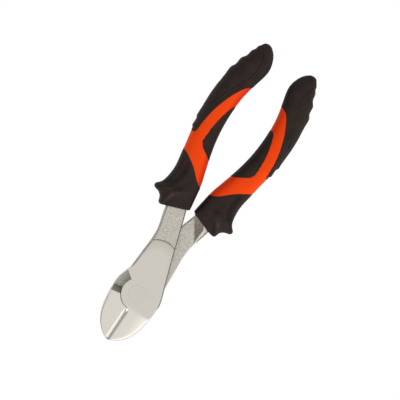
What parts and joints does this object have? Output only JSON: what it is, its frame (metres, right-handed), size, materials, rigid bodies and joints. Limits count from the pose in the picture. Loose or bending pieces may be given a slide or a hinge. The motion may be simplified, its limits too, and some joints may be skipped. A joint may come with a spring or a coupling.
{
  "type": "diagonal cutting pliers",
  "caption": "Hand cutters with short oval jaws on a flush riveted lap joint and long bowed two-material grips with thumb guards at their front.",
  "frame": {"origin": "centre of the pivot rivet's rear end face, in the plane of the rear joint face", "axes": "+Z along the pivot, out of the front joint face; +Y from the pivot between the two handles to their ends, so the jaws point along -Y; +X to the right when looking at the front face with the handles up"},
  "size_m": [0.0528, 0.1804, 0.0172],
  "materials": {
    "tool_steel": "fine satin-ground joint and jaws, bead-blasted shanks",
    "rivet_steel": "ground flush with the joint",
    "grip_orange": "hard moulded polypropylene, satin",
    "grip_black": "soft thermoplastic rubber, matt, warm black"
  },
  "bodies": {
    "rear_half": {"rear_jaw_half": "tool_steel", "pivot_rivet": "rivet_steel", "right_grip_core": "grip_orange", "right_grip_collar": "grip_black", "right_grip_palm_shell": "grip_black", "right_grip_inner_pad": "grip_black"},
    "front_half": {"front_jaw_half": "tool_steel", "left_grip_core": "grip_orange", "left_grip_collar": "grip_black", "left_grip_palm_shell": "grip_black", "left_grip_inner_pad": "grip_black"}
  },
  "joints": [
    {"name": "jaw_pivot", "type": "hinge", "parent": "rear_half", "child": "front_half", "pos_m": [0, 0, 0.006], "axis": [0, 0, 1], "range_deg": [0, 41]}
  ]
}
